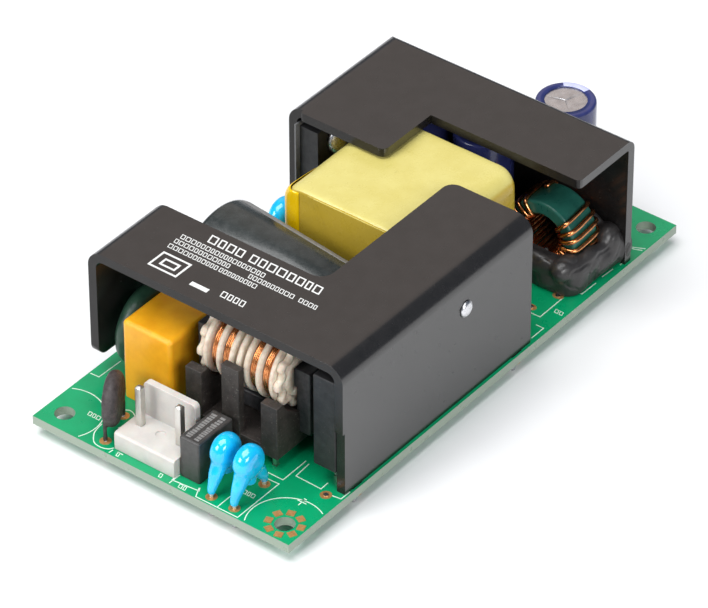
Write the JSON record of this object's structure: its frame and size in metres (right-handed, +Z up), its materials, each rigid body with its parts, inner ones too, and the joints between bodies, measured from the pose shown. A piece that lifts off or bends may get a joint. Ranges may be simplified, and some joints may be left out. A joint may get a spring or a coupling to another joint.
{
  "type": "internal power supply",
  "caption": "Open-frame AC to DC power supply: black folded heatsinks over a green circuit board with transformer, line choke, capacitors, and input and output pin headers.",
  "frame": {"origin": "middle of the circuit board's outline, at the level of the clipped lead ends under the board", "axes": "+X along the board from the input header to the output header; +Y across the board from the heatsink's near wall; +Z up from the board's component side"},
  "size_m": [0.1016, 0.0508, 0.028],
  "materials": {
    "solder_mask": "green solder mask over glass fibre board, satin",
    "bare_copper": "bare copper pads, slightly dull",
    "solder": "tin solder, satin",
    "black_anodised": "black anodised sheet, matte with fine dust",
    "white_nylon": "warm white moulded nylon",
    "tinned_pins": "tinned, satin",
    "fuse_case": "dark grey moulded case",
    "thermistor_coat": "dark maroon grey dipped coat",
    "yellow_case": "amber yellow moulded case",
    "varistor_coat": "dark green dipped coat",
    "ferrite": "sintered ferrite, dull",
    "bobbin_nylon": "warm beige moulded bobbin",
    "enamelled_copper": "enamelled copper wire, glossy",
    "black_case": "black moulded case",
    "blue_coat": "glossy blue dipped coat",
    "capacitor_can": "drawn aluminium, satin",
    "bulk_sleeve": "charcoal shrunk film",
    "upright_sleeve": "dark blue shrunk film",
    "rubber_seal": "black rubber",
    "yellow_tape": "yellow polyester tape",
    "thermal_pad": "grey silicone sheet",
    "screw_steel": "zinc plated steel",
    "green_core": "dark green epoxy coat over powdered iron",
    "black_adhesive": "black silicone adhesive, semi gloss",
    "optocoupler_case": "white moulded case",
    "ceramic": "tan sintered ceramic"
  },
  "bodies": {
    "root": {"bridge_leads": "tinned_pins", "bridge_rectifier": "black_case", "bulk_capacitor_can": "capacitor_can", "bulk_capacitor_leads": "tinned_pins", "bulk_capacitor_seal": "rubber_seal", "bulk_capacitor_sleeve": "bulk_sleeve", "choke_base": "black_case", "choke_bobbin": "bobbin_nylon", "choke_core": "ferrite", "choke_pins": "tinned_pins", "choke_windings": "enamelled_copper", "circuit_board": "solder_mask", "controller_chip": "black_case", "film_capacitor": "yellow_case", "front_heatsink": "black_anodised", "fuse": "fuse_case", "ground_pads": "bare_copper", "input_header": "white_nylon", "input_header_pins": "tinned_pins", "optocoupler": "optocoupler_case", "output_capacitor_1_can": "capacitor_can", "output_capacitor_1_sleeve": "upright_sleeve", "output_capacitor_2_can": "capacitor_can", "output_capacitor_2_sleeve": "upright_sleeve", "output_capacitor_3_can": "capacitor_can", "output_capacitor_3_sleeve": "upright_sleeve", "output_choke_adhesive": "black_adhesive", "output_choke_core": "green_core", "output_choke_leads": "tinned_pins", "output_choke_winding": "enamelled_copper", "output_header": "white_nylon", "output_header_pins": "tinned_pins", "output_rectifier": "black_case", "output_rectifier_leads": "tinned_pins", "output_rectifier_pad": "thermal_pad", "output_rectifier_screw": "screw_steel", "rear_heatsink": "black_anodised", "solder_joints": "solder", "supply_capacitor_can": "capacitor_can", "supply_capacitor_sleeve": "upright_sleeve", "surface_capacitors": "ceramic", "surface_diodes": "black_case", "surface_resistors": "black_case", "switch_transistor": "black_case", "switch_transistor_leads": "tinned_pins", "switch_transistor_pad": "thermal_pad", "switch_transistor_screw": "screw_steel", "thermistor": "thermistor_coat", "transformer_bobbin": "black_case", "transformer_core": "ferrite", "transformer_pins": "tinned_pins", "transformer_tape": "yellow_tape", "transformer_windings": "enamelled_copper", "upright_capacitor_leads": "tinned_pins", "varistor": "varistor_coat", "y_capacitor_1": "blue_coat", "y_capacitor_2": "blue_coat", "y_capacitor_3": "blue_coat"}
  },
  "joints": []
}
